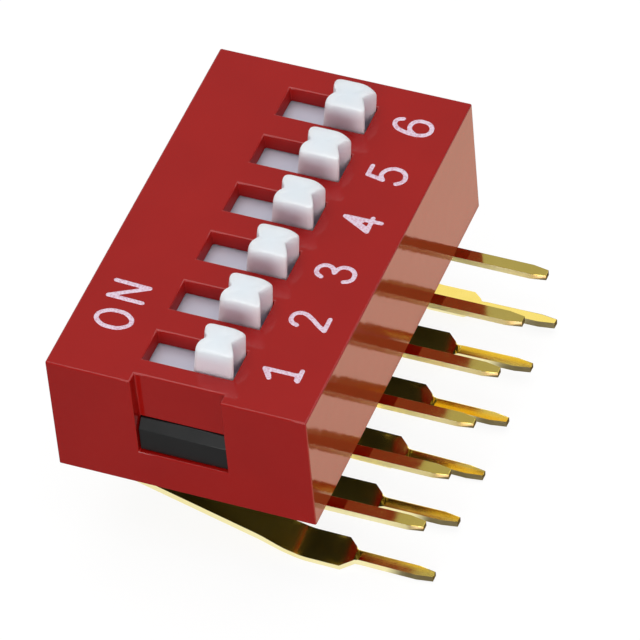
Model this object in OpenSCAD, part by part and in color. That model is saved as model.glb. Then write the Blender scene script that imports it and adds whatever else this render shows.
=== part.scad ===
// Slide-type DIP switch with right-angle leads: a row of switches in one moulded housing.
//
// Every piece is drawn in housing coordinates: X across the row, from the ON side (-X)
// to the number side (+X), Y along the row with switch 1 at the -Y end, and Z out of the
// face with the knobs, from the cover's open underside. in_frame() then puts the origin
// on the middle of the number-side face, the face that lies against the circuit board.

/* [Row] */
// Number of switches in the row
positions = 6; // [2:1:8]
// Distance from one switch to the next
pitch = 2.54; // [2.5:0.01:3]

/* [Cover] */
// Height of the cover, from its open underside to its top face
cover_h = 5.2; // [5:0.05:6]
// From the middle of an end switch to the outside of the end wall
end_margin = 1.9; // [1.88:0.01:2.6]
// Thickness of the top wall, round the slots
top_wall = 0.65; // [0.45:0.05:0.8]
// Thickness of the two long walls
side_wall = 0.7; // [0.5:0.05:1]
// Thickness of the two end walls
end_wall = 0.9; // [0.7:0.05:0.95]
// Radius on the cover's outer edges
cover_edge = 0.06; // [0.03:0.01:0.2]

/* [Slots] */
// Length of a slot in the top wall
slot_l = 3.42; // [3.2:0.02:4]
// Width of a slot
slot_w = 1.49; // [1.3:0.01:1.6]
// Chamfer round the rim of a slot
slot_rim = 0.05; // [0.02:0.01:0.1]

/* [Index notch and latches] */
// Width of the index notch, and of the latch window in each end wall
window_w = 3.4; // [2.4:0.1:5]
// Height of the windows' lower edge above the underside
window_z = 1.6; // [1:0.05:2]
// How deep the index notch is cut into the end wall of switch 1
notch_d = 0.45; // [0.2:0.05:0.5]
// How far the latch's face lies behind the outside of the end wall
latch_set_back = 0.15; // [0.05:0.01:0.3]
// Length of the lead-in slope on a latch, along the row
latch_slope_l = 0.3; // [0.1:0.05:0.5]
// Height of that slope
latch_slope_h = 0.36; // [0.1:0.02:0.6]

/* [Sliders] */
// How far a slider travels between OFF and ON
travel = 1.5; // [1.2:0.05:1.6]
// Height of a knob above the top face
knob_h = 1.12; // [0.5:0.02:2]
// Radius on a knob's upright edges, at its foot
knob_edge = 0.12; // [0.08:0.01:0.2]
// Radius on the edges of a knob's top
knob_top_edge = 0.22; // [0.1:0.01:0.3]
// How far a knob's number side leans out past the end of its slot, at the top
knob_lean = 0.1; // [0:0.01:0.12]
// How much narrower the ON side of a knob gets towards its top
knob_draft = 0.3; // [0:0.02:0.4]
// Depth of the groove down a knob's ON face
groove_on = 0.18; // [0.05:0.01:0.25]
// Depth of the groove down a knob's number-side face
groove_off = 0.27; // [0.05:0.01:0.3]
// Fillet at the foot of a knob, on its ON side
foot_fillet = 0.12; // [0.05:0.01:0.2]
// Thickness of a slider's plate
plate_t = 0.7; // [0.55:0.05:0.75]
// How far a slider's plate laps under each side of its slot
lap_side = 0.18; // [0.1:0.01:0.2]
// How far a slider's plate still laps under the end of its slot at the end of its travel
lap_end = 0.3; // [0.1:0.05:0.5]

/* [Base and contacts] */
// Distance between the two rows of terminals, in the base
row_span = 7.62; // [7.2:0.01:8.5]
// Thickness of the base's sides, outside the terminals
base_side = 0.225; // [0.15:0.005:0.5]
// Height of the space between the contact pads and the sliders' plates
contact_h = 0.78; // [0.6:0.01:1.2]
// Thickness of the ribs that part one switch from the next
rib_t = 0.5; // [0.3:0.02:0.5]
// Thickness of a moving contact's spring strip
spring_t = 0.1; // [0.06:0.01:0.14]
// Width of a moving contact
spring_w = 0.8; // [0.5:0.05:1]
// Length of the flat at the top of a moving contact
spring_flat_l = 0.8; // [0.5:0.05:1]
// Radius of a moving contact's bends, at the middle of the strip
spring_bend_r = 0.1; // [0.1:0.01:0.15]
// Length of each foot of a moving contact
contact_foot_l = 0.2; // [0.1:0.01:0.25]
// Length of the turned-up toe past each foot
contact_toe_l = 0.2; // [0.1:0.01:0.25]
// Depth of the pocket under a slider's plate that carries its contact
pocket_d = 0.35; // [0.25:0.05:0.4]
// How far the contact pads stand out of the base's floor
pad_proud = 0.03; // [0.01:0.01:0.1]
// How far a contact pad runs on past the foot that rests on it
pad_overrun = 0.25; // [0.15:0.01:0.3]

/* [Leads] */
// Thickness of the sheet that the terminals are stamped from
sheet_t = 0.25; // [0.15:0.01:0.3]
// Width of a terminal, inside the base and as far as its shoulders
lead_w = 1.27; // [0.9:0.01:1.5]
// Width of a lead past its shoulders
tip_w = 0.5; // [0.4:0.01:0.6]
// Width of the very end of a lead
tip_end_w = 0.3; // [0.2:0.01:0.4]
// Length over which a lead narrows to its end
tip_taper_l = 0.6; // [0.3:0.1:1.5]
// Distance between the two rows of leads, where they enter the circuit board
board_row = 2.54; // [2:0.01:3]
// Depth of the upper leads below the underside, at the middle of the sheet
upper_drop = 0.86; // [0.8:0.01:1.5]
// How far the upper leads stand out past the number side
upper_reach = 3.3; // [2:0.1:5]
// How far the lower leads stand out past the number side
lower_reach = 3.5; // [2:0.1:5]
// Depth of the elbow under the ON side, where a lower lead starts its slope
elbow_drop = 1.03; // [0.8:0.01:1.4]
// How far inside the number side that slope ends
slope_end = 1.34; // [0.8:0.01:2]
// Radius of the tight bends, at the middle of the sheet
bend_r = 0.4; // [0.2:0.05:0.5]
// Radius of the wide bend at the end of the slope, at the middle of the sheet
slope_bend_r = 1.6; // [0.5:0.1:3]
// Length over which a terminal narrows at its shoulders
shoulder_l = 0.44; // [0.2:0.02:0.8]
// How far past the number side the shoulders of the lower leads start
lower_shoulder = 0.11; // [0:0.01:0.5]
// How far below the underside the shoulders of the upper leads start
upper_shoulder = 0.1; // [0:0.02:0.2]

// How far each upper lead stands above its nominal line, as bent by hand
upper_rise = [-0.1, -0.05, 0, 0.05, 0.15, 0.05];
// The same for the lower leads, where the level part starts
lower_rise = [-0.1, 0, -0.05, 0.05, 0.24, 0];
// How much further each lower lead rises from there to its tip
lower_tip_rise = [-0.1, 0, -0.15, -0.03, 0.05, 0.04];

/* [Clearances] */
// Gap round the base, inside the cover
fit_gap = 0.04; // [0.02:0.01:0.08]
// Gap round whatever slides
run_gap = 0.04; // [0.03:0.01:0.06]

/* [Hidden] */
// Across the row, the housing is built outwards from the two rows of terminals
row_x = row_span / 2;
base_w = row_span + sheet_t + 2 * base_side;
cavity_w = base_w + 2 * fit_gap;
cover_w = cavity_w + 2 * side_wall;

cover_l = (positions - 1) * pitch + 2 * end_margin;
cavity_l = cover_l - 2 * end_wall;
base_l = cavity_l - 2 * fit_gap;

// Upwards, it is stacked down from the top face: sliders, contact space, base
cavity_h = cover_h - top_wall;
plate_top = cavity_h - run_gap;
plate_underside = plate_top - plate_t;
pad_top = plate_underside - contact_h;
floor_h = pad_top - pad_proud;
rib_h = cavity_h - fit_gap - floor_h;

// The latch fills its window, from the window's sill up to the level of the base's floor
window_top = floor_h + fit_gap;
latch_w = window_w - 2 * fit_gap;
latch_reach = cover_l / 2 - latch_set_back;

plate_w = slot_w + 2 * lap_side;
plate_l = slot_l + travel + 2 * lap_end;
// At rest a slider is at OFF, half its travel to the number side of the middle
off_x = travel / 2;

// A knob, with its foot against the number end of the slot
knob_l = slot_l - travel - 2 * run_gap;
knob_w = slot_w - 2 * run_gap;
knob_top = cover_h + knob_h;
knob_high_x = slot_l / 2 - run_gap;
knob_low_x = knob_high_x - knob_l + foot_fillet;
knob_smooth = 24;

// A moving contact's feet stand one travel apart: both on the long pad at OFF,
// and one on each pad at ON
foot_spacing = travel;
toe_rise = contact_h / 3;
spring_top = plate_underside + pocket_d - spring_t / 2;
spring_low = pad_top + run_gap / 2 + spring_t / 2;
pocket_l = foot_spacing;
pocket_w = spring_w + 2 * run_gap;
long_pad_x = off_x - foot_spacing / 2 - contact_foot_l / 2 - pad_overrun;
short_pad_x = off_x - foot_spacing / 2 - travel + contact_foot_l / 2 + pad_overrun;
pad_z = pad_top - sheet_t / 2;

upper_z = -upper_drop;
lower_z = upper_z - board_row;
upper_tip_x = cover_w / 2 + upper_reach;
lower_tip_x = cover_w / 2 + lower_reach;
pad_bend_r = sheet_t;
bend_steps = 8;
// Extra length of a cut, so that it passes through the face it opens
through = 1;

// ---- placing ----

module in_frame() {
    translate([-cover_w / 2, 0, -cover_h / 2])
        children();
}

// Y of switch i, counted from 1
function switch_y(i) = (i - (positions + 1) / 2) * pitch;

// Extrudes an outline drawn in X and Z to a width along Y, centred on Y = 0
module across(width) {
    translate([0, width / 2, 0])
        rotate([90, 0, 0])
            linear_extrude(width)
                children();
}

// Extrudes an outline drawn in Y and Z to a length along X, centred on X = 0
module along(length) {
    translate([-length / 2, 0, 0])
        rotate([90, 0, 90])
            linear_extrude(length)
                children();
}

// A box centred in X and Y that stands on Z = 0
module block(size) {
    translate([-size.x / 2, -size.y / 2, 0])
        cube(size);
}

// ---- sheet metal ----

function unit(v) = v / norm(v);
function quarter_turn(v) = [-v.y, v.x];
function turned(v, a) = [v.x * cos(a) - v.y * sin(a), v.x * sin(a) + v.y * cos(a)];
function turn_angle(u, v) = atan2(u.x * v.y - u.y * v.x, u * v);

// One long side of a bent strip: the line at a distance to the left of a centre line,
// with the corner at p[i] rounded to the radius r[i - 1] at the middle of the sheet
function strip_side(p, r, side) = concat(
    [p[0] + side * quarter_turn(unit(p[1] - p[0]))],
    [for (i = [1:len(p) - 2])
        let (
            u = unit(p[i] - p[i - 1]),
            a = turn_angle(u, unit(p[i + 1] - p[i])),
            hand = sign(a),
            start = p[i] - u * r[i - 1] * tan(abs(a) / 2),
            middle = start + hand * r[i - 1] * quarter_turn(u)
        )
        for (k = [0:bend_steps])
            middle + (side - hand * r[i - 1]) * quarter_turn(turned(u, a * k / bend_steps))],
    [p[len(p) - 1] + side * quarter_turn(unit(p[len(p) - 1] - p[len(p) - 2]))]
);
function reversed(v) = [for (i = [len(v) - 1:-1:0]) v[i]];

// The side view of a strip of sheet bent along a centre line
module bent_strip(p, r, t) {
    polygon(concat(strip_side(p, r, t / 2), reversed(strip_side(p, r, -t / 2))));
}

// ---- cover ----

// A rectangle with round corners, centred
module rounded_rectangle(size, r) {
    square([size.x - 2 * r, size.y], center = true);
    square([size.x, size.y - 2 * r], center = true);
    for (x = [-1, 1], y = [-1, 1])
        translate([x * (size.x / 2 - r), y * (size.y / 2 - r)])
            circle(r, $fn = 32);
}

// The outside of the cover: rounded on its upright and top edges, square at its underside
module cover_outside() {
    intersection() {
        linear_extrude(cover_h)
            rounded_rectangle([cover_w, cover_l], cover_edge);
        across(cover_l)
            rounded_rectangle([cover_w, 2 * cover_h], cover_edge);
        along(cover_w)
            rounded_rectangle([cover_l, 2 * cover_h], cover_edge);
    }
}

// The outline of a slot's width or length, flaring to its chamfered rim at the top face
module slot_outline(width) {
    half = width / 2;
    flare = slot_rim + through;
    polygon([
        [-half, -through], [half, -through], [half, top_wall - slot_rim],
        [half + flare, top_wall + through], [-half - flare, top_wall + through],
        [-half, top_wall - slot_rim]
    ]);
}

module slot_cut() {
    translate([0, 0, cavity_h])
        intersection() {
            across(pitch)
                slot_outline(slot_l);
            along(cover_w)
                slot_outline(slot_w);
        }
}

module latch_windows() {
    translate([0, 0, window_z])
        block([window_w, cover_l + through, window_top - window_z]);
}

module index_notch() {
    translate([0, -cover_l / 2, window_z])
        block([window_w, 2 * notch_d, cover_h]);
}

module cover() {
    color("firebrick")
        difference() {
            cover_outside();
            translate([0, 0, -through])
                block([cavity_w, cavity_l, cavity_h + through]);
            for (i = [1:positions])
                translate([0, switch_y(i), 0])
                    slot_cut();
            latch_windows();
            index_notch();
        }
}

// ---- base ----

// One latch, standing out of the base's end towards +Y
module latch() {
    root = base_l / 2 - end_wall;
    along(latch_w)
        polygon([
            [root, window_z + fit_gap],
            [latch_reach, window_z + fit_gap],
            [latch_reach, floor_h - latch_slope_h],
            [latch_reach - latch_slope_l, floor_h],
            [root, floor_h]
        ]);
}

module ribs() {
    for (i = [1:positions - 1])
        translate([0, switch_y(i + 0.5), floor_h - through])
            block([base_w, rib_t, rib_h + through]);
}

module base() {
    color([0.12, 0.12, 0.13])
        difference() {
            union() {
                block([base_w, base_l, floor_h]);
                ribs();
                latch();
                mirror([0, 1, 0])
                    latch();
            }
            for (i = [1:positions])
                translate([0, switch_y(i), 0]) {
                    upper_blank(i);
                    lower_blank(i);
                }
        }
}

// ---- sliders ----

// Half of a knob, from its -Y or +Y end to its waist. side is -1 or 1.
module knob_lobe(side) {
    low = plate_top - plate_t / 2;
    foot_y = side * (knob_w / 2 - knob_edge);
    top_y = side * (knob_w / 2 - knob_top_edge);
    foot_high_x = knob_high_x - knob_edge;
    foot_low_x = knob_low_x + knob_edge;
    top_high_x = knob_high_x + knob_lean - knob_top_edge;
    top_low_x = knob_low_x + knob_draft + knob_top_edge;
    hull() {
        // upright edges rise from inside the plate
        for (at = [
            [foot_high_x, foot_y], [foot_high_x - groove_off, 0],
            [foot_low_x, foot_y], [foot_low_x + groove_on, 0]
        ])
            translate([at.x, at.y, low])
                cylinder(h = cover_h - low, r = knob_edge, $fn = knob_smooth);
        // and swell into the rounder edges of the top
        for (at = [
            [top_high_x, top_y], [top_high_x - groove_off, 0],
            [top_low_x, top_y], [top_low_x + groove_on, 0]
        ])
            translate([at.x, at.y, knob_top - knob_top_edge])
                sphere(knob_top_edge, $fn = knob_smooth);
    }
}

// The hollow fillet between the plate and the ON side of the knob
module knob_foot() {
    across(knob_w - 2 * knob_edge)
        difference() {
            translate([knob_low_x - foot_fillet, plate_top - plate_t / 2])
                square([foot_fillet + knob_draft, plate_t / 2 + foot_fillet]);
            translate([knob_low_x - foot_fillet, plate_top + foot_fillet])
                circle(foot_fillet, $fn = 32);
        }
}

module slider(i) {
    color("whitesmoke")
        translate([0, switch_y(i), 0]) {
            difference() {
                translate([off_x, 0, plate_underside])
                    block([plate_l, plate_w, plate_t]);
                translate([off_x, 0, plate_underside - through])
                    block([pocket_l, pocket_w, pocket_d + through]);
            }
            knob_lobe(-1);
            knob_lobe(1);
            knob_foot();
        }
}

// ---- moving contacts ----

// A sprung strip with its flat in the slider's pocket and two feet on the pads
module moving_contact(i) {
    foot_x = foot_spacing / 2;
    path = [
        [-foot_x - contact_foot_l / 2 - contact_toe_l, spring_low + toe_rise],
        [-foot_x - contact_foot_l / 2, spring_low],
        [-foot_x + contact_foot_l / 2, spring_low],
        [-spring_flat_l / 2, spring_top],
        [spring_flat_l / 2, spring_top],
        [foot_x - contact_foot_l / 2, spring_low],
        [foot_x + contact_foot_l / 2, spring_low],
        [foot_x + contact_foot_l / 2 + contact_toe_l, spring_low + toe_rise]
    ];
    color("gold")
        translate([off_x, switch_y(i), 0])
            across(spring_w)
                bent_strip(path, [for (k = [2:len(path) - 1]) spring_bend_r], spring_t);
}

// ---- terminals ----

// The entry for lead i in a list of small differences, used over again in a longer row
function own(list, i) = list[(i - 1) % len(list)];

// The sheet of each terminal, bent but still of full width to its tip
module upper_blank(i) {
    z = upper_z + own(upper_rise, i);
    path = [[long_pad_x, pad_z], [row_x, pad_z], [row_x, z], [upper_tip_x, z]];
    across(lead_w)
        bent_strip(path, [pad_bend_r, bend_r], sheet_t);
}

module lower_blank(i) {
    z = lower_z + own(lower_rise, i);
    path = [
        [short_pad_x, pad_z],
        [-row_x, pad_z],
        [-row_x, -elbow_drop],
        [cover_w / 2 - slope_end, z],
        [lower_tip_x, z + own(lower_tip_rise, i)]
    ];
    across(lead_w)
        bent_strip(path, [pad_bend_r, bend_r, slope_bend_r], sheet_t);
}

// Outlines that trim a terminal's width, with lengths along X and widths along Y:
// the shoulders start at a length, and the tip ends at one
function both_halves(p) = concat(p, reversed([for (q = p) [q.x, -q.y]]));

module shoulder_outline(at) {
    polygon(both_halves([
        [-cover_w, lead_w], [at, lead_w], [at, lead_w / 2],
        [at + shoulder_l, tip_w / 2], [2 * cover_w, tip_w / 2]
    ]));
}

module tip_outline(end) {
    polygon(both_halves([
        [-cover_w, lead_w], [end - tip_taper_l, lead_w],
        [end - tip_taper_l, tip_w / 2], [end, tip_end_w / 2]
    ]));
}

// Cuts an outline through everything above and below it
module trim() {
    translate([0, 0, -2 * cover_h])
        linear_extrude(4 * cover_h)
            children();
}

// The upper leads have their shoulders on the upright part, just under the base
module upper_terminal(i) {
    color("goldenrod")
        translate([0, switch_y(i), 0])
            intersection() {
                upper_blank(i);
                trim()
                    tip_outline(upper_tip_x);
                rotate([0, 90, 0])
                    trim()
                        shoulder_outline(upper_shoulder);
            }
}

// The lower leads have theirs on the level part, just past the number side
module lower_terminal(i) {
    color("goldenrod")
        translate([0, switch_y(i), 0])
            intersection() {
                lower_blank(i);
                trim()
                    tip_outline(lower_tip_x);
                trim()
                    shoulder_outline(cover_w / 2 + lower_shoulder);
            }
}

in_frame() cover();
in_frame() base();
for (i = [1:positions]) {
    in_frame() slider(i);
    in_frame() moving_contact(i);
    in_frame() upper_terminal(i);
    in_frame() lower_terminal(i);
}
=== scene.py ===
import math

import bmesh
import bpy
from mathutils import Matrix, Quaternion, Vector


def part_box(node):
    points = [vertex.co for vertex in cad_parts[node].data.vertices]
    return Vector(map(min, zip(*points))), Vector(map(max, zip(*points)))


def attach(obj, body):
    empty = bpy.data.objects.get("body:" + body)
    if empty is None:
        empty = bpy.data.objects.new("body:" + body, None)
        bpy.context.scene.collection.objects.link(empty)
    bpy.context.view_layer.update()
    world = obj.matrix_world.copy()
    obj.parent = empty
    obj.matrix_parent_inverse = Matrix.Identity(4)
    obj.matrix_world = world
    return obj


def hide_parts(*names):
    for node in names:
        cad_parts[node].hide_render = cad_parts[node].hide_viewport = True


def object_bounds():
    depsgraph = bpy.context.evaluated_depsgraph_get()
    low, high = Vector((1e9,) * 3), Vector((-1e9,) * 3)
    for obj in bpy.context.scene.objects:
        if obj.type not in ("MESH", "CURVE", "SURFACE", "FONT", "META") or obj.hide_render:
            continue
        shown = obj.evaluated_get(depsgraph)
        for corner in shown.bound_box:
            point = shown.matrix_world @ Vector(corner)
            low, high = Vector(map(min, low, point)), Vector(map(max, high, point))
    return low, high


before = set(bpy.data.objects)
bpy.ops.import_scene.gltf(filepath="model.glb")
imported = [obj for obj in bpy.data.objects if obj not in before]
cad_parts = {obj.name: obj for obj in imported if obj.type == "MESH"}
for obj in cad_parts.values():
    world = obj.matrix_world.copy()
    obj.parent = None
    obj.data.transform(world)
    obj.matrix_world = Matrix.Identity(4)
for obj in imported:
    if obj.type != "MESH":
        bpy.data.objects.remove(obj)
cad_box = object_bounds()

# The looks of a red slide switch with six positions and right-angle gold leads.
# Pieces are modelled in millimetres and scaled to metres when they are finished.
MM = 0.001

POSITIONS = 6

# How near counts as touching, where a face, edge or corner is picked by its place
TOUCH = 0.01
# How far a cutting block runs past what it cuts
CUT_PAST = 1
# Corners this near each other are merged, and faces this many degrees apart are joined
SAME_POINT = 0.0005
FLAT_WITHIN = 0.5

# Cover. The windows' heights are above its open underside.
TOP_WALL = 0.65
SIDE_WALL = 0.7
END_WALL = 0.9
SLOT_LENGTH = 3.42
SLOT_WIDTH = 1.43
WINDOW_WIDTH = 3.4
WINDOW_BOTTOM = 1.6
WINDOW_TOP = 3.04
NOTCH_DEPTH = 0.45
COVER_EDGE = 0.06
LATCH_EDGE = 0.03

# Sliders. Places along X are from the middle of a slot, with the ON side below zero.
RUN_GAP = 0.04
PLATE_THICKNESS = 0.7
# A knob's cage stands out past the slider it smooths down to.
CAGE_EXTRA = 0.03
KNOB_HALF = SLOT_WIDTH / 2 - RUN_GAP
KNOB_HIGH = SLOT_LENGTH / 2 - RUN_GAP + CAGE_EXTRA
KNOB_MIDDLE = 0.8
KNOB_LOW = -0.06
# How much shorter some knobs are at their ON side
KNOB_SHORTER = {1: 0.1, 3: 0.05}
# The grooves of a knob's waist: their depth, and half their width at the bottom and mouth
GROOVE_ON = 0.22
GROOVE_ON_BOTTOM = 0.07
GROOVE_ON_MOUTH = 0.32
GROOVE_OFF = 0.32
GROOVE_OFF_BOTTOM = 0.08
GROOVE_OFF_MOUTH = 0.42
# Shares of a groove's depth at which its bottom ends and its mouth opens
GROOVE_ON_FLOOR = 0.9
GROOVE_OFF_FLOOR = 0.88
GROOVE_OFF_LIP = 0.25
# How far in from a knob's two ends its corners stop being round
CORNER_ON = 0.38
CORNER_OFF = 0.36
# How far a knob's ON side slopes in, its number side leans out, and its foot flares
KNOB_DRAFT = 0.28
KNOB_LEAN = 0.12
FOOT_FLARE = 0.08
# Heights of the rings of a knob's foot above its plate, and of its shoulder below its top
FOOT_RING = 0.04
WAIST_RING = 0.26
KNOB_SHOULDER = 0.15
# Shares of the slope and the lean that come below the shoulder and above it
BELOW_SHOULDER = 0.85
ABOVE_SHOULDER = 0.15
# How far the corners of a knob's top hang down, and by how much more at its shoulder
FAR_CORNER_DROOP = {1: 0.2, 2: 0.25, 3: 0.25, 4: 0.38, 5: 0.42, 6: 0.42}
NEAR_CORNER_DROOP = 0.06
ON_CORNER_DROOP = 0.2
SHOULDER_DROOP = 1.3
# Where a knob's number side begins, and how far in from its ends the corners droop
NUMBER_SIDE = 0.85
DROOP_NUMBER_SIDE = 0.2
DROOP_ON_SIDE = 0.3
# Share to which a knob's top narrows at its crown, and the place it narrows towards
KNOB_CROWN = 0.8
CROWN_CENTRE = 0.62
KNOB_SMOOTHING = 3

# Leads
LEAD_EDGE = 0.01
FAR_LEAD_EDGE = 0.08
FAR_EDGE_START = 0.3
# By hand the lower leads were left a little twisted: the degrees of each one's wide end
# and of its tip.
LEAD_TWISTS = {
    "lower_lead_1": (8.4, -0.5),
    "lower_lead_2": (10, -3),
    "lower_lead_3": (9.5, -4),
    "lower_lead_4": (10, -4),
    "lower_lead_5": (10.5, -3),
    "lower_lead_6": (-9, -9),
}
# Where each of a lead's two twists starts past the number side, and the run over which it
# comes on. A twist also lifts what lies past it.
WIDE_TWIST = (-3, 1.3)
TIP_TWIST = (0.5, 0.25)
TWIST_STEPS = 5
LEAD_LIFT = 0.025

# Legend. A digit stands so far along the row from the middle of its switch, and sizes
# stretch a character's pen strokes across and upwards.
STROKE = 0.18
INK_HEIGHT = 0.012
DIGIT_X = -1.66
DIGIT_Y = 0.117
DIGIT_SIZE = (0.93, 0.965)
ON_X = -8.27
ON_Y = {"O": -5.6, "N": -4.21}
ON_SIZE = (0.97, 0.95)

# Floor. Its spans are pairs of places, or of lengths of a mirrored ray, between which one
# look fades into the next. A glow is a colour with a strength.
FLOOR_GAP = 0.02
FLOOR_REACH = 3000
PAPER_SHADED = (0.25, 0.25, 0.25)
PAPER_PALE = (0.85, 0.85, 0.85)
PALE_SHARE = 0.45
FAR_SIDE = (-14, -5)
BESIDE_SWITCH = (1.2, 1.55)
OUTER_FLOOR = (1.7, 2.3)
CLEAR_LENGTH = (4.6, 5.1)
CLOSE_LENGTH = (13, 16)
CLOSE_SHARE = 0.8
BESIDE_GLOW = ((1, 0.98, 0.93), 0.95)
OUTER_GLOW = ((1, 0.8, 0.6), 0.12)
WARM_GLOW = ((1, 0.67, 0.47), 1.6)
PLAIN_GLOW = ((1, 1, 1), 1.05)
PLAIN_SHARE = 0.85

# Levels of the tent of light, with white at 1
FRONT_LEVEL = 0.3
GAP_LEVEL = 0.35
OVERHEAD_ON_SIDE = 0.42
OVERHEAD_NUMBER_SIDE = 0.16

# Camera, with its angles in degrees and the place in the middle of its view
VIEW_AZIMUTH = 25.42
VIEW_ELEVATION = 46.1
VIEW_ROLL = -5.74
VIEW_DISTANCE = 227.9
VIEW_AIM = Vector((-2.85, -0.27, -1.08))
LENS = 358.6


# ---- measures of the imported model, in millimetres ----

def node_box(node):
    """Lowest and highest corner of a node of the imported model."""
    low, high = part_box(node)
    return low / MM, high / MM


COVER_LOW, COVER_HIGH = node_box("cover")
ROW_X = (COVER_LOW.x + COVER_HIGH.x) / 2


def middle_y(node):
    low, high = node_box(node)
    return (low.y + high.y) / 2


# Where the switches stand along the row
SWITCH_Y = {i: middle_y(f"slider_{i}") for i in range(1, POSITIONS + 1)}


# ---- meshes ----

def new_piece(name, bm):
    """An object that holds a bmesh, which is used up."""
    mesh = bpy.data.meshes.new(name)
    bm.to_mesh(mesh)
    bm.free()
    piece = bpy.data.objects.new(name, mesh)
    bpy.context.scene.collection.objects.link(piece)
    return piece


def block(name, low, high):
    """A box between two corners."""
    low = Vector(low)
    high = Vector(high)
    bm = bmesh.new()
    bmesh.ops.create_cube(bm, size=1)
    bmesh.ops.scale(bm, vec=high - low, verts=bm.verts)
    bmesh.ops.translate(bm, vec=(low + high) / 2, verts=bm.verts)
    return new_piece(name, bm)


def use_modifiers(piece):
    """Makes the piece's mesh what its modifiers show, and removes them."""
    graph = bpy.context.evaluated_depsgraph_get()
    made = bpy.data.meshes.new_from_object(piece.evaluated_get(graph))
    piece.modifiers.clear()
    old = piece.data
    piece.data = made
    bpy.data.meshes.remove(old)


def combine(piece, tools, operation):
    """Cuts the tools from the piece, or joins them to it."""
    for tool in tools:
        step = piece.modifiers.new(operation, "BOOLEAN")
        step.operation = operation
        step.solver = "EXACT"
        step.object = tool
    use_modifiers(piece)
    for tool in tools:
        bpy.data.objects.remove(tool)


def reshape(piece, change):
    """Runs a function on the piece's mesh as a bmesh."""
    bm = bmesh.new()
    bm.from_mesh(piece.data)
    change(bm)
    bm.to_mesh(piece.data)
    bm.free()


def join_flat_faces(bm):
    """Merges doubled vertices, then the triangles that lie in one plane."""
    bmesh.ops.remove_doubles(bm, verts=bm.verts, dist=SAME_POINT)
    bmesh.ops.dissolve_limit(
        bm, angle_limit=math.radians(FLAT_WITHIN), verts=bm.verts, edges=bm.edges)


def is_sharp(edge, degrees=35):
    return len(edge.link_faces) == 2 and edge.calc_face_angle(0) > math.radians(degrees)


def round_edges(piece, radius, segments, is_meant=lambda edge: True):
    """Rounds the sharp edges of a piece that are meant."""

    def bevel(bm):
        bmesh.ops.bevel(
            bm, geom=[e for e in bm.edges if is_sharp(e) and is_meant(e)],
            offset=radius, segments=segments, profile=0.5,
            affect="EDGES", clamp_overlap=True, material=-1)

    reshape(piece, bevel)


def copy_of_node(name, node):
    """A merged copy of a node's loose triangles, in millimetres."""
    bm = bmesh.new()
    bm.from_mesh(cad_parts[node].data)
    bmesh.ops.scale(bm, vec=(1 / MM,) * 3, verts=bm.verts)
    join_flat_faces(bm)
    return new_piece(name, bm)


def finish(piece, body, material, replaced=(), sharp=40):
    """Scales a piece to metres, shades it, gives it its body and finish, and hides the nodes it
    replaces.
    """
    mesh = piece.data
    mesh.transform(Matrix.Scale(MM, 4))
    mesh.polygons.foreach_set("use_smooth", [True] * len(mesh.polygons))
    mesh.set_sharp_from_angle(angle=math.radians(sharp))
    even = piece.modifiers.new("even normals", "WEIGHTED_NORMAL")
    even.keep_sharp = True
    mesh.materials.clear()
    mesh.materials.append(material)
    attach(piece, body)
    if replaced:
        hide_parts(*replaced)


# ---- materials ----

# The sockets of a Mix node that are for colours
MIX_FACTOR, MIX_FIRST, MIX_SECOND, MIX_RESULT = 0, 6, 7, 2


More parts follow.
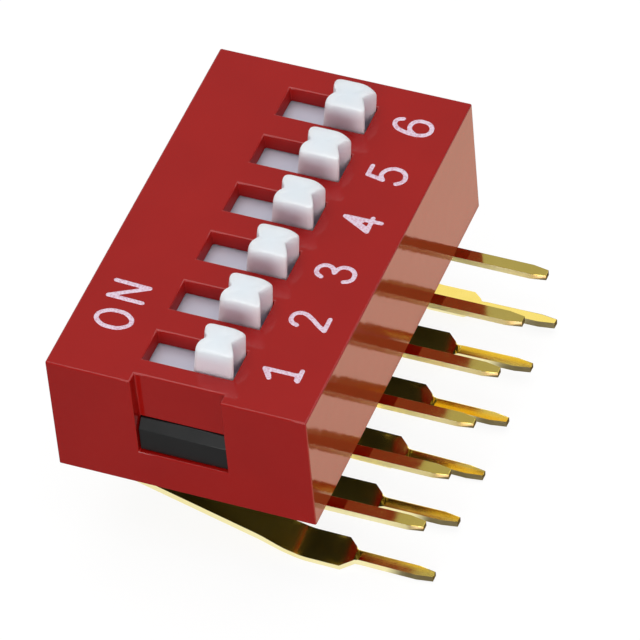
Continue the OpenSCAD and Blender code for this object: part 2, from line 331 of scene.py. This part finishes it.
class Nodes:
    """The node tree of a material or world, with short ways to add to it."""

    def __init__(self, owner):
        owner.use_nodes = True
        self.tree = owner.node_tree
        self.tree.nodes.clear()

    def add(self, kind, **settings):
        node = self.tree.nodes.new(kind)
        for name, value in settings.items():
            setattr(node, name, value)
        return node

    def join(self, source, target):
        self.tree.links.new(source, target)

    def spot(self, scale=(1, 1, 1)):
        """Object coordinates in millimetres, stretched by a scale."""
        where = self.add("ShaderNodeTexCoord")
        mapping = self.add("ShaderNodeMapping")
        mapping.inputs["Scale"].default_value = [s / MM for s in scale]
        self.join(where.outputs["Object"], mapping.inputs["Vector"])
        return mapping.outputs["Vector"]

    def noise(self, scale, detail=2, stretch=(1, 1, 1)):
        """Noise with so many features in a millimetre."""
        noise = self.add("ShaderNodeTexNoise")
        noise.inputs["Scale"].default_value = scale
        noise.inputs["Detail"].default_value = detail
        self.join(self.spot(stretch), noise.inputs["Vector"])
        return noise.outputs["Fac"]

    def between(self, factor, low, high, start=0.3, end=0.7):
        """A number that goes from low to high as the factor goes from start to end."""
        ranged = self.add("ShaderNodeMapRange")
        ranged.inputs["From Min"].default_value = start
        ranged.inputs["From Max"].default_value = end
        ranged.inputs["To Min"].default_value = low
        ranged.inputs["To Max"].default_value = high
        self.join(factor, ranged.inputs["Value"])
        return ranged.outputs["Result"]

    def colours(self, factor, low, high, start=0.3, end=0.7):
        """A colour that goes from low to high as the factor goes from start to end."""
        ramp = self.add("ShaderNodeValToRGB")
        ramp.color_ramp.elements[0].position = start
        ramp.color_ramp.elements[0].color = (*low, 1)
        ramp.color_ramp.elements[1].position = end
        ramp.color_ramp.elements[1].color = (*high, 1)
        self.join(factor, ramp.inputs["Fac"])
        return ramp.outputs["Color"]

    def bump(self, height, depth, base=None):
        """Bumps of so many millimetres, on top of other bumps."""
        bump = self.add("ShaderNodeBump")
        bump.inputs["Distance"].default_value = depth * MM
        self.join(height, bump.inputs["Height"])
        if base:
            self.join(base, bump.inputs["Normal"])
        return bump.outputs["Normal"]

    def reckon(self, operation, one, other):
        """What a Math node makes of two numbers."""
        result = self.add("ShaderNodeMath", operation=operation)
        self.join(one, result.inputs[0])
        self.join(other, result.inputs[1])
        return result.outputs[0]

    def rest(self, share):
        """What a share leaves of one."""
        return self.between(share, 1, 0, 0, 1)

    def blend(self, factor, first, second):
        """A number that goes from the first to the second with the factor."""
        mix = self.add("ShaderNodeMix")
        self.join(factor, mix.inputs["Factor"])
        self.join(first, mix.inputs["A"])
        self.join(second, mix.inputs["B"])
        return mix.outputs["Result"]

    def mixed(self, factor, first, second):
        """A shader that goes from the first to the second with the factor."""
        mix = self.add("ShaderNodeMixShader")
        self.join(factor, mix.inputs["Fac"])
        self.join(first, mix.inputs[1])
        self.join(second, mix.inputs[2])
        return mix.outputs["Shader"]

    def glow(self, colour, strength):
        light = self.add("ShaderNodeEmission")
        light.inputs["Color"].default_value = (*colour, 1)
        light.inputs["Strength"].default_value = strength
        return light.outputs["Emission"]


def plastic(name, low, high, gloss, grain, grain_depth, wave_depth, ior=1.5):
    """Moulded plastic: a colour that drifts, an uneven gloss and a fine grain."""
    material = bpy.data.materials.new(name)
    nodes = Nodes(material)
    shader = nodes.add("ShaderNodeBsdfPrincipled")
    out = nodes.add("ShaderNodeOutputMaterial")
    shader.inputs["IOR"].default_value = ior
    drift = nodes.noise(scale=0.35, detail=3)
    nodes.join(nodes.colours(drift, low, high), shader.inputs["Base Color"])
    cloud = nodes.noise(scale=0.9, detail=4)
    nodes.join(nodes.between(cloud, *gloss), shader.inputs["Roughness"])
    fine = nodes.bump(nodes.noise(grain, detail=3), grain_depth)
    waves = nodes.bump(nodes.noise(scale=1.8, detail=1), wave_depth, fine)
    nodes.join(waves, shader.inputs["Normal"])
    nodes.join(shader.outputs["BSDF"], out.inputs["Surface"])
    return material, shader, nodes


def red_plastic():
    return plastic(
        "red_moulded_plastic", low=(0.32, 0.003, 0.0015), high=(0.345, 0.004, 0.002),
        gloss=(0.06, 0.1), grain=9, grain_depth=0.0002, wave_depth=0.004)[0]


def matt_red_plastic():
    return plastic(
        "matt_red_slot_walls", low=(0.33, 0.006, 0.004), high=(0.37, 0.008, 0.006),
        gloss=(0.45, 0.6), grain=12, grain_depth=0.001, wave_depth=0.001, ior=1.3)[0]


def black_plastic():
    return plastic(
        "black_moulded_plastic", low=(0.006, 0.0065, 0.0065), high=(0.009, 0.0095, 0.01),
        gloss=(0.3, 0.4), grain=14, grain_depth=0.0005, wave_depth=0.001)[0]


# Painted light: the plates and the knobs' feet are tinted darker and pinker low down, a painted
# shade and a painted red bounce from the red around them:
# the white's tints by height, and the heights between which a colour ramp holds them.
PAINTED_BOUNCE_TINTS = [
    (2.3, (0.84, 0.79, 0.87)),
    (2.5, (1, 0.86, 0.88)),
    (3.1, (0.99, 0.87, 0.88)),
    (3.65, (1, 1, 1)),
]
PAINTED_BOUNCE_LOWEST = 2
PAINTED_BOUNCE_TOP = 3.7


def blush_ramp(nodes):
    """The painted shade and painted red bounce tint of the white plastic at each height."""
    height = nodes.add("ShaderNodeSeparateXYZ")
    nodes.join(nodes.spot(), height.inputs["Vector"])
    ramp = nodes.add("ShaderNodeValToRGB")
    share = nodes.between(height.outputs["Z"], 0, 1, PAINTED_BOUNCE_LOWEST, PAINTED_BOUNCE_TOP)
    nodes.join(share, ramp.inputs["Fac"])
    stops = ramp.color_ramp.elements
    while len(stops) < len(PAINTED_BOUNCE_TINTS):
        stops.new(0.5)
    for stop, (z, tint) in zip(stops, PAINTED_BOUNCE_TINTS):
        stop.position = (z - PAINTED_BOUNCE_LOWEST) / (PAINTED_BOUNCE_TOP - PAINTED_BOUNCE_LOWEST)
        stop.color = (*tint, 1)
    return ramp.outputs["Color"]


def white_plastic():
    material, shader, nodes = plastic(
        "white_moulded_plastic", low=(0.71, 0.77, 0.82), high=(0.74, 0.8, 0.85),
        gloss=(0.3, 0.42), grain=11, grain_depth=0.0004, wave_depth=0.002)
    # Painted shade and painted red bounce light, multiplied into the white by height.
    bounce_tint = nodes.add("ShaderNodeMix", data_type="RGBA", blend_type="MULTIPLY")
    bounce_tint.inputs[MIX_FACTOR].default_value = 1
    (link,) = shader.inputs["Base Color"].links
    nodes.join(link.from_socket, bounce_tint.inputs[MIX_FIRST])
    nodes.join(blush_ramp(nodes), bounce_tint.inputs[MIX_SECOND])
    nodes.join(bounce_tint.outputs[MIX_RESULT], shader.inputs["Base Color"])
    shader.inputs["Subsurface Weight"].default_value = 0.85
    shader.inputs["Subsurface Radius"].default_value = (1, 1, 1)
    shader.inputs["Subsurface Scale"].default_value = 0.9 * MM
    return material


def gold_plate(name, low, high, gloss=(0.05, 0.12), drawn=0.0002):
    """Gold plating on rolled sheet: lines drawn so deep along the sheet, and cloudy gloss."""
    material = bpy.data.materials.new(name)
    nodes = Nodes(material)
    shader = nodes.add("ShaderNodeBsdfPrincipled")
    out = nodes.add("ShaderNodeOutputMaterial")
    shader.inputs["Metallic"].default_value = 1
    drift = nodes.noise(scale=1.2, detail=4)
    nodes.join(nodes.colours(drift, low, high), shader.inputs["Base Color"])
    cloud = nodes.noise(scale=2.5, detail=4)
    nodes.join(nodes.between(cloud, *gloss), shader.inputs["Roughness"])
    lines = nodes.bump(nodes.noise(scale=9, detail=1, stretch=(0.03, 1, 1)), drawn)
    ripples = nodes.bump(nodes.noise(scale=5), depth=0.0003, base=lines)
    nodes.join(ripples, shader.inputs["Normal"])
    nodes.join(shader.outputs["BSDF"], out.inputs["Surface"])
    return material


def printing_ink():
    """Thin white ink that lets some red through in small pinholes."""
    material = bpy.data.materials.new("white_printing_ink")
    nodes = Nodes(material)
    shader = nodes.add("ShaderNodeBsdfPrincipled")
    out = nodes.add("ShaderNodeOutputMaterial")
    speckle = nodes.noise(scale=14, detail=3)
    ink = nodes.colours(
        speckle, low=(0.62, 0.36, 0.46), high=(0.74, 0.6, 0.72), start=0.35, end=0.55)
    nodes.join(ink, shader.inputs["Base Color"])
    nodes.join(nodes.between(speckle, low=0.6, high=0.45), shader.inputs["Roughness"])
    nodes.join(nodes.bump(nodes.noise(scale=12), depth=0.001), shader.inputs["Normal"])
    nodes.join(shader.outputs["BSDF"], out.inputs["Surface"])
    return material


RED = red_plastic()
MATT_RED = matt_red_plastic()
BLACK = black_plastic()
WHITE = white_plastic()
LEAD_COLOURS = {"low": (0.94, 0.73, 0.16), "high": (0.97, 0.76, 0.19)}
LEAD_GOLD = gold_plate("gold_plated_lead", **LEAD_COLOURS)
DRAWN_GOLD = gold_plate("gold_plated_drawn_lead", **LEAD_COLOURS, gloss=(0.1, 0.15), drawn=0.0008)
# Paler gold on the leads' cut edges: partly the edges' own bare metal, partly a painted highlight
# that brightens them.
PALE_EDGE_GOLD_AND_HIGHLIGHT = gold_plate(
    "pale_cut_edge_gold_and_painted_highlight", low=(0.97, 0.87, 0.46), high=(0.99, 0.92, 0.56), gloss=(0.3, 0.38))
CONTACT_GOLD = gold_plate("gold_plated_contact", low=(0.9, 0.7, 0.25), high=(0.95, 0.78, 0.32))
INK = printing_ink()


# ---- cover ----

def cover_cutters():
    """Blocks for the cavity, the slots, the latch windows and the index notch."""
    past = Vector((0, 0, CUT_PAST))
    low = COVER_LOW + Vector((SIDE_WALL, END_WALL, 0))
    high = COVER_HIGH - Vector((SIDE_WALL, END_WALL, TOP_WALL))
    yield block("cavity", low - past, high)
    for i, y in SWITCH_Y.items():
        half = Vector((SLOT_LENGTH, SLOT_WIDTH, 0)) / 2
        middle = Vector((ROW_X, y, COVER_HIGH.z))
        yield block(f"slot_{i}", middle - half - past, middle + half + past)
    left = ROW_X - WINDOW_WIDTH / 2
    right = ROW_X + WINDOW_WIDTH / 2
    bottom = COVER_LOW.z + WINDOW_BOTTOM
    top = COVER_LOW.z + WINDOW_TOP
    front = COVER_LOW.y - CUT_PAST
    yield block("windows", (left, front, bottom), (right, COVER_HIGH.y + CUT_PAST, top))
    back = COVER_LOW.y + NOTCH_DEPTH
    yield block("notch", (left, front, bottom), (right, back, COVER_HIGH.z + CUT_PAST))


def is_outside(edge):
    """Whether an edge of the cover is on its outside, apart from its lower rim."""
    middle = (edge.verts[0].co + edge.verts[1].co) / 2
    inside = (
        COVER_LOW.x + SIDE_WALL - TOUCH < middle.x < COVER_HIGH.x - SIDE_WALL + TOUCH
        and COVER_LOW.y + END_WALL - TOUCH < middle.y < COVER_HIGH.y - END_WALL + TOUCH
        and middle.z < COVER_HIGH.z - TOP_WALL + TOUCH
    )
    return middle.z > COVER_LOW.z + TOUCH and not inside


def is_slot_wall(face):
    """Whether a face of the finished cover is on the wall of a slot, under its rim."""
    place = face.center / MM
    beside = min(abs(place.y - y) for y in SWITCH_Y.values())
    is_upright = abs(face.normal.z) < 0.1
    return (
        is_upright and place.z > COVER_HIGH.z - TOP_WALL
        and abs(place.x - ROW_X) < SLOT_LENGTH / 2 + TOUCH and beside < SLOT_WIDTH / 2 + TOUCH)


def make_cover():
    cover = block("cover_shell", COVER_LOW, COVER_HIGH)
    combine(cover, list(cover_cutters()), "DIFFERENCE")
    reshape(cover, join_flat_faces)
    round_edges(cover, COVER_EDGE, segments=3, is_meant=is_outside)
    finish(cover, "housing", RED, ["cover"])
    cover.data.materials.append(MATT_RED)
    for face in cover.data.polygons:
        face.material_index = int(is_slot_wall(face))


# ---- base ----

def make_base():
    base = copy_of_node("base_block", "base")
    latch_from = COVER_HIGH.y - END_WALL

    def on_latch(edge):
        return all(abs(v.co.y) > latch_from for v in edge.verts)

    round_edges(base, LATCH_EDGE, segments=3, is_meant=on_latch)
    finish(base, "housing", BLACK, ["base"])


# ---- sliders ----

def knob_cage_outline(low):
    """The corners that draw a knob's outline from above, once they are smoothed."""
    waist = [(low + GROOVE_ON, 0)]
    near = [
        (low + GROOVE_ON_FLOOR * GROOVE_ON, GROOVE_ON_BOTTOM),
        (low, GROOVE_ON_MOUTH),
        (low, KNOB_HALF),
        (low + CORNER_ON, KNOB_HALF),
        (KNOB_MIDDLE, KNOB_HALF),
        (KNOB_HIGH - CORNER_OFF, KNOB_HALF),
        (KNOB_HIGH, KNOB_HALF),
        (KNOB_HIGH - GROOVE_OFF_LIP * GROOVE_OFF, GROOVE_OFF_MOUTH),
        (KNOB_HIGH - GROOVE_OFF_FLOOR * GROOVE_OFF, GROOVE_OFF_BOTTOM),
    ]
    far_waist = [(KNOB_HIGH - GROOVE_OFF, 0)]
    return waist + [(a, -b) for a, b in near] + far_waist + near[::-1]


def grow(bm, face, place):
    """Extrudes a face, and puts its new corners where a function says. The first face stays
    as the closed foot of what grows."""
    is_foot = not any(len(e.link_faces) > 1 for e in face.edges)
    made = bmesh.ops.extrude_face_region(bm, geom=[face])
    (grown,) = [g for g in made["geom"] if isinstance(g, bmesh.types.BMFace)]
    for v in grown.verts:
        v.co = place(v.co)
    if not is_foot:
        bmesh.ops.delete(bm, geom=[face], context="FACES_ONLY")
    return grown


def make_knob(i, plate_top, top):
    """A knob with soft edges, smoothed from a cage of rings that rises out of the plate."""
    y = SWITCH_Y[i]
    low = KNOB_LOW + KNOB_SHORTER.get(i, 0)
    bm = bmesh.new()
    foot = plate_top - PLATE_THICKNESS / 2
    face = bm.faces.new([bm.verts.new((ROW_X + a, y + b, foot)) for a, b in knob_cage_outline(low)])

    def ring(z, on_side, number_side, droop=0):
        """Puts a ring at a height, with its two sides shifted and its corners drooping."""
        def place(co):
            shift = number_side if co.x > ROW_X + NUMBER_SIDE else on_side
            is_number_side = co.x > ROW_X + KNOB_HIGH - DROOP_NUMBER_SIDE
            lower = 0
            if abs(co.y - y) > KNOB_HALF - TOUCH and is_number_side:
                lower = FAR_CORNER_DROOP[i] if co.y > y else NEAR_CORNER_DROOP
            if co.y < y - KNOB_HALF + TOUCH and co.x < ROW_X + low + DROOP_ON_SIDE:
                lower = ON_CORNER_DROOP
            return Vector((co.x + shift, co.y, z - droop * lower))
        return place

    def crown(co):
        middle = Vector((ROW_X + CROWN_CENTRE, y, top))
        inner = middle + (co - middle) * KNOB_CROWN
        return Vector((inner.x, inner.y, top))

    slope_in = KNOB_DRAFT * BELOW_SHOULDER - FOOT_FLARE
    lean_out = KNOB_LEAN * BELOW_SHOULDER
    face = grow(bm, face, ring(plate_top + FOOT_RING, 0, 0))
    face = grow(bm, face, ring(plate_top + WAIST_RING, FOOT_FLARE, 0))
    face = grow(bm, face, ring(top - KNOB_SHOULDER, slope_in, lean_out, SHOULDER_DROOP))
    face = grow(bm, face, ring(top, KNOB_DRAFT * ABOVE_SHOULDER, KNOB_LEAN * ABOVE_SHOULDER, 1))
    grow(bm, face, crown)
    bmesh.ops.recalc_face_normals(bm, faces=bm.faces)
    knob = new_piece(f"knob_{i}", bm)
    smooth = knob.modifiers.new("smooth", "SUBSURF")
    smooth.levels = smooth.render_levels = KNOB_SMOOTHING
    use_modifiers(knob)
    return knob


def make_slider(i):
    name = f"slider_{i}"
    low, high = node_box(name)
    plate_top = low.z + PLATE_THICKNESS
    slider = block(f"sliding_lever_{i}", low, (high.x, high.y, plate_top))
    combine(slider, [make_knob(i, plate_top, high.z)], "UNION")
    finish(slider, f"switch_{i}", WHITE, [name])


# ---- leads ----

def twist(lead, start, run, degrees):
    """Turns the end of a lead about its own line, from so far past the number side."""
    low, high = (Vector(c) for c in (lead.bound_box[0], lead.bound_box[6]))
    tip = max((v.co for v in lead.data.vertices), key=lambda co: co.x)
    middle = Vector((0, (low.y + high.y) / 2, tip.z))
    begin = COVER_HIGH.x + start

    def turn(bm):
        for step in range(TWIST_STEPS + 1):
            bmesh.ops.bisect_plane(
                bm, geom=list(bm.verts) + list(bm.edges) + list(bm.faces), dist=0.001,
                plane_co=(begin + run * step / TWIST_STEPS, 0, 0), plane_no=(1, 0, 0))
        for v in bm.verts:
            share = min(max((v.co.x - begin) / run, 0), 1)
            angle = math.radians(degrees) * share * share * (3 - 2 * share)
            v.co = middle + Matrix.Rotation(angle, 3, "X") @ (v.co - middle)
            v.co.z += LEAD_LIFT * share

    reshape(lead, turn)


def round_far_edges(lead):
    """Rounds the far upper edges of a lead's end, which the die pulled in."""
    middle = sum((Vector(c) for c in lead.bound_box), Vector()) / 8

    def weigh(bm):
        weight = bm.edges.layers.float.new("bevel_weight_edge")
        for edge in bm.edges:
            is_upper = any(f.normal.z > 0.9 for f in edge.link_faces)
            is_far = all(
                v.co.y > middle.y and v.co.x > COVER_HIGH.x + FAR_EDGE_START for v in edge.verts)
            edge[weight] = float(is_sharp(edge) and is_upper and is_far)

    reshape(lead, weigh)
    rounded = lead.modifiers.new("rounded edges", "BEVEL")
    rounded.limit_method = "WEIGHT"
    rounded.width = FAR_LEAD_EDGE
    rounded.segments = 3
    use_modifiers(lead)


def make_lead(name, node):
    """A lead, which is also twisted if it is a lower one, with paler gold on its cut edges: partly
    their own bare metal, partly a painted highlight.
    """
    lead = copy_of_node(name, node)
    if name in LEAD_TWISTS:
        wide_end, tip = LEAD_TWISTS[name]
        twist(lead, *WIDE_TWIST, wide_end)
        twist(lead, *TIP_TWIST, tip - wide_end)
        round_far_edges(lead)
        gold = DRAWN_GOLD
    else:
        round_edges(lead, LEAD_EDGE, segments=1)
        gold = LEAD_GOLD
    finish(lead, "housing", gold, [node])
    # The cut edges get the paler gold, which is partly a painted highlight.
    lead.data.materials.append(PALE_EDGE_GOLD_AND_HIGHLIGHT)
    for face in lead.data.polygons:
        is_cut_edge = abs(face.normal.y) > 0.7
        face.material_index = int(is_cut_edge)


def gild_contact(node):
    """Gives a moving contact its gold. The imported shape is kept."""
    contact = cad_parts[node]
    contact.data.materials.clear()
    contact.data.materials.append(CONTACT_GOLD)


# ---- legend ----

# Each character is a list of pen strokes, and each stroke a list of points in millimetres
# from the middle of the character, to the right and upwards. A stroke is drawn as a smooth
# curve if it is marked so, and otherwise from corner to corner. A stroke that ends where it
# starts is closed.
SMOOTH, CORNERS = True, False
CHARACTERS = {
    "1": [
        (CORNERS, [(-0.38, 0.38), (0.04, 0.69)]),
        (CORNERS, [(0.04, 0.69), (0.04, -0.67)]),
        (CORNERS, [(-0.24, -0.68), (0.3, -0.67)]),
        (CORNERS, [(-0.27, 0.42), (0, 0.6)]),
        (CORNERS, [(-0.2, -0.62), (0.06, -0.58)]),
    ],
    "2": [
        (SMOOTH, [(-0.27, 0.38), (-0.16, 0.61), (0.08, 0.69), (0.32, 0.57), (0.38, 0.3),
                  (0.2, -0.06), (-0.05, -0.38), (-0.25, -0.68)]),
        (CORNERS, [(-0.25, -0.69), (0.37, -0.69)]),
    ],
    "3": [
        (SMOOTH, [(-0.36, 0.42), (-0.24, 0.62), (-0.05, 0.69), (0.18, 0.6), (0.27, 0.38),
                  (0.18, 0.14), (-0.03, 0.02)]),
        (SMOOTH, [(-0.03, 0.02), (0.26, -0.1), (0.36, -0.36), (0.24, -0.65), (-0.02, -0.75),
                  (-0.25, -0.68), (-0.38, -0.46)]),
    ],
    "4": [
        (CORNERS, [(0.22, -0.72), (0.2, 0.69)]),
        (CORNERS, [(0.2, 0.69), (-0.36, -0.36)]),
        (CORNERS, [(-0.36, -0.36), (0.38, -0.34)]),
        (CORNERS, [(0.14, 0.4), (-0.2, -0.25)]),
        (CORNERS, [(0.12, 0.3), (0.12, 0)]),
    ],
    "5": [
        (CORNERS, [(0.32, 0.66), (-0.18, 0.67)]),
        (CORNERS, [(-0.18, 0.67), (-0.3, 0.04)]),
        (SMOOTH, [(-0.3, 0.04), (-0.1, 0.17), (0.14, 0.14), (0.35, -0.06), (0.4, -0.34),
                  (0.28, -0.62), (0.02, -0.74), (-0.22, -0.68), (-0.36, -0.5)]),
    ],
    "6": [
        (SMOOTH, [(0.34, 0.44), (0.24, 0.63), (0.05, 0.68), (-0.16, 0.55), (-0.3, 0.24),
                  (-0.36, -0.1), (-0.34, -0.44), (-0.2, -0.7), (0.04, -0.78), (0.28, -0.68),
                  (0.4, -0.4), (0.34, -0.08), (0.12, 0.06), (-0.14, 0.02), (-0.33, -0.2)]),
    ],
    "O": [
        (SMOOTH, [(0, 0.69), (0.3, 0.47), (0.41, 0.02), (0.3, -0.47), (0, -0.69),
                  (-0.3, -0.47), (-0.41, -0.02), (-0.3, 0.47), (0, 0.69)]),
    ],
    "N": [
        (CORNERS, [(-0.4, -0.69), (-0.36, 0.69)]),
        (CORNERS, [(-0.36, 0.69), (0.36, -0.69)]),
        (CORNERS, [(0.36, -0.69), (0.42, 0.69)]),
    ],
}


def pen_stroke(name, points, smooth):
    """A round bead along a stroke, with a ball at each end and each straight corner."""
    curve = bpy.data.curves.new(name, "CURVE")
    curve.dimensions = "3D"
    curve.resolution_u = 8
    curve.bevel_depth = STROKE / 2
    curve.bevel_resolution = 3
    curve.use_fill_caps = True
    spline = curve.splines.new("BEZIER")
    if points[0] == points[-1]:
        spline.use_cyclic_u = True
        points = points[:-1]
    spline.bezier_points.add(len(points) - 1)
    for knot, (right, up) in zip(spline.bezier_points, points):
        knot.co = (right, up, 0)
        knot.handle_left_type = knot.handle_right_type = "AUTO" if smooth else "VECTOR"
    bead = bpy.data.objects.new(name, curve)
    bpy.context.scene.collection.objects.link(bead)
    graph = bpy.context.evaluated_depsgraph_get()
    bm = bmesh.new()
    mesh = bpy.data.meshes.new_from_object(bead.evaluated_get(graph))
    bm.from_mesh(mesh)
    for right, up in points if not smooth else (points[0], points[-1]):
        bmesh.ops.create_uvsphere(
            bm, u_segments=16, v_segments=8, radius=STROKE / 2,
            matrix=Matrix.Translation((right, up, 0)))
    bpy.data.objects.remove(bead)
    bpy.data.meshes.remove(mesh)
    return bm


def make_character(name, sign, x, y, size):
    """One printed character, its strokes run together and pressed nearly flat."""
    bm = bmesh.new()
    for number, (smooth, points) in enumerate(CHARACTERS[sign]):
        points = [(right * size[0], up * size[1]) for right, up in points]
        stroke = pen_stroke(f"{name}_stroke_{number}", points, smooth)
        part = bpy.data.meshes.new("stroke")
        stroke.to_mesh(part)
        bm.from_mesh(part)
        stroke.free()
        bpy.data.meshes.remove(part)
    ink = new_piece(name, bm)
    melt = ink.modifiers.new("run together", "REMESH")
    melt.mode = "VOXEL"
    melt.voxel_size = 0.02
    soften = ink.modifiers.new("soften", "SMOOTH")
    soften.factor = 0.5
    soften.iterations = 3
    use_modifiers(ink)
    flat = Matrix.Diagonal((1, 1, 2 * INK_HEIGHT / STROKE, 1))
    turned = Matrix.Rotation(math.radians(90), 4, "Z")
    ink.data.transform(Matrix.Translation((x, y, COVER_HIGH.z)) @ turned @ flat)
    finish(ink, "housing", INK, sharp=80)


def make_legend():
    for i, y in SWITCH_Y.items():
        make_character(f"digit_{i}", str(i), DIGIT_X, y + DIGIT_Y, DIGIT_SIZE)
    for letter, y in ON_Y.items():
        make_character(f"letter_{letter}", letter, ON_X, y, ON_SIZE)


# ---- floor, light and camera ----

def white_paper():
    """Paper that is white to the eye and keeps a soft shadow. In gloss it glows warmly beside
    the leads."""
    material = bpy.data.materials.new("white_paper")
    nodes = Nodes(material)
    path = nodes.add("ShaderNodeLightPath")
    is_seen = path.outputs["Is Camera Ray"]
    mirrored = nodes.reckon(
        "MAXIMUM", path.outputs["Is Glossy Ray"], path.outputs["Is Transmission Ray"])
    place = nodes.add("ShaderNodeSeparateXYZ")
    nodes.join(nodes.spot(), place.inputs["Vector"])

    def by_length(low, high, span):
        near, far = span
        return nodes.between(path.outputs["Ray Length"], low, high, near * MM, far * MM)

    # Toward the front left the paper is painted darker for gloss and bounce: painted shade.
    across = nodes.reckon("ADD", place.outputs["X"], place.outputs["Y"])
    far = nodes.between(across, 0, 1, *FAR_SIDE)
    # In gloss, only the floor beside the switch is bright, not what lies under the leads.
    beside = nodes.between(place.outputs["X"], 0, 1, *BESIDE_SWITCH)
    clear = by_length(0, 1, CLEAR_LENGTH)
    dim = nodes.rest(nodes.reckon("MULTIPLY", beside, clear))
    lit = nodes.reckon("MULTIPLY", far, nodes.rest(nodes.reckon("MULTIPLY", dim, mirrored)))

    paper = nodes.add("ShaderNodeBsdfDiffuse")
    bounced = nodes.between(lit, 0, PALE_SHARE, 0, 1)
    pale = nodes.reckon("MAXIMUM", bounced, is_seen)
    nodes.join(nodes.colours(pale, PAPER_SHADED, PAPER_PALE, 0, 1), paper.inputs["Color"])

    # The glows that gloss sees are painted reflections. The paper is no lamp.
    outer = nodes.between(place.outputs["X"], 0, 1, *OUTER_FLOOR)
    under_lead = nodes.reckon("MULTIPLY", nodes.rest(clear), mirrored)
    close = by_length(CLOSE_SHARE, 0, CLOSE_LENGTH)
    warm = nodes.reckon("MULTIPLY", nodes.reckon("MULTIPLY", close, lit), mirrored)
    plain = nodes.between(is_seen, 0, PLAIN_SHARE, 0, 1)
    shown = nodes.mixed(outer, nodes.glow(*BESIDE_GLOW), nodes.glow(*OUTER_GLOW))
    shown = nodes.mixed(under_lead, paper.outputs["BSDF"], shown)
    shown = nodes.mixed(warm, shown, nodes.glow(*WARM_GLOW))
    shown = nodes.mixed(plain, shown, nodes.glow(*PLAIN_GLOW))
    side = nodes.add("ShaderNodeNewGeometry")
    below = nodes.add("ShaderNodeBsdfTransparent")
    shown = nodes.mixed(side.outputs["Backfacing"], shown, below.outputs["BSDF"])
    out = nodes.add("ShaderNodeOutputMaterial")
    nodes.join(shown, out.inputs["Surface"])
    return material


def make_floor():
    """A sheet of paper just under the leads, which can't be seen from below."""
    floor_z = cad_box[0].z / MM - FLOOR_GAP
    bm = bmesh.new()
    bmesh.ops.create_grid(bm, x_segments=1, y_segments=1, size=FLOOR_REACH)
    bmesh.ops.translate(bm, vec=(0, 0, floor_z), verts=bm.verts)
    floor = new_piece("floor", bm)
    floor.data.transform(Matrix.Scale(MM, 4))
    floor.data.materials.append(white_paper())


def make_sky():
    """A tent of plain light: white low behind, with a grey gap on the number side, grey
    overhead and in front, and white to the eye."""
    world = bpy.data.worlds.new("tent")
    bpy.context.scene.world = world
    nodes = Nodes(world)
    where = nodes.add("ShaderNodeTexCoord")
    way = nodes.add("ShaderNodeSeparateXYZ")
    nodes.join(where.outputs["Generated"], way.inputs["Vector"])
    overhead = nodes.between(
        way.outputs["X"], OVERHEAD_ON_SIDE, OVERHEAD_NUMBER_SIDE, start=-0.1, end=0.2)
    climb = nodes.between(way.outputs["Z"], 0, 1, start=0.54, end=0.66)
    into_gap = nodes.between(way.outputs["X"], 1, GAP_LEVEL, start=0, end=0.2)
    out_of_gap = nodes.between(way.outputs["X"], 0, 1, start=0.4, end=0.6)
    back = nodes.blend(climb, nodes.reckon("MAXIMUM", into_gap, out_of_gap), overhead)
    front = nodes.add("ShaderNodeValue")
    front.outputs[0].default_value = FRONT_LEVEL
    behind = nodes.between(way.outputs["Y"], 0, 1, start=-0.2, end=0.3)
    shade = nodes.blend(behind, front.outputs[0], back)
    path = nodes.add("ShaderNodeLightPath")
    level = nodes.reckon("MAXIMUM", shade, path.outputs["Is Camera Ray"])
    light = nodes.add("ShaderNodeBackground")
    light.inputs["Color"].default_value = (1, 1, 1, 1)
    out = nodes.add("ShaderNodeOutputWorld")
    nodes.join(level, light.inputs["Strength"])
    nodes.join(light.outputs["Background"], out.inputs["Surface"])


def direction(azimuth, elevation):
    """The way back from the middle of the view to somewhere that looks at it."""
    a = math.radians(azimuth)
    e = math.radians(elevation)
    return Vector((math.sin(a) * math.cos(e), -math.cos(a) * math.cos(e), math.sin(e)))


def soft_light(name, azimuth, elevation, size, radiance, distance=400):
    """A square lamp of so many millimetres that faces the switch."""
    lamp = bpy.data.lights.new(name, "AREA")
    lamp.size = size * MM
    lamp.energy = radiance * math.pi * (size * MM) ** 2
    holder = bpy.data.objects.new(name, lamp)
    bpy.context.scene.collection.objects.link(holder)
    back = direction(azimuth, elevation)
    holder.location = (VIEW_AIM + back * distance) * MM
    holder.rotation_mode = "QUATERNION"
    holder.rotation_quaternion = (-back).to_track_quat("-Z", "Y")


def make_camera():
    camera = bpy.data.cameras.new("camera")
    camera.lens = LENS
    camera.sensor_width = 36
    camera.clip_start = 0.01
    camera.clip_end = 10
    holder = bpy.data.objects.new("camera", camera)
    bpy.context.scene.collection.objects.link(holder)
    back = direction(VIEW_AZIMUTH, VIEW_ELEVATION)
    holder.location = (VIEW_AIM + back * VIEW_DISTANCE) * MM
    holder.rotation_mode = "QUATERNION"
    roll = Quaternion((0, 0, 1), math.radians(VIEW_ROLL))
    holder.rotation_quaternion = (-back).to_track_quat("-Z", "Y") @ roll
    bpy.context.scene.camera = holder


make_cover()
make_base()
for i in SWITCH_Y:
    make_slider(i)
    make_lead(f"upper_lead_{i}", f"upper_terminal_{i}")
    make_lead(f"lower_lead_{i}", f"lower_terminal_{i}")
    gild_contact(f"moving_contact_{i}")
make_legend()
make_floor()
make_sky()
soft_light("top_light", azimuth=180, elevation=86, size=460, radiance=1.75)
soft_light("front_light", azimuth=10, elevation=13, size=240, radiance=5.6)
make_camera()
bpy.context.scene.view_settings.view_transform = "Standard"
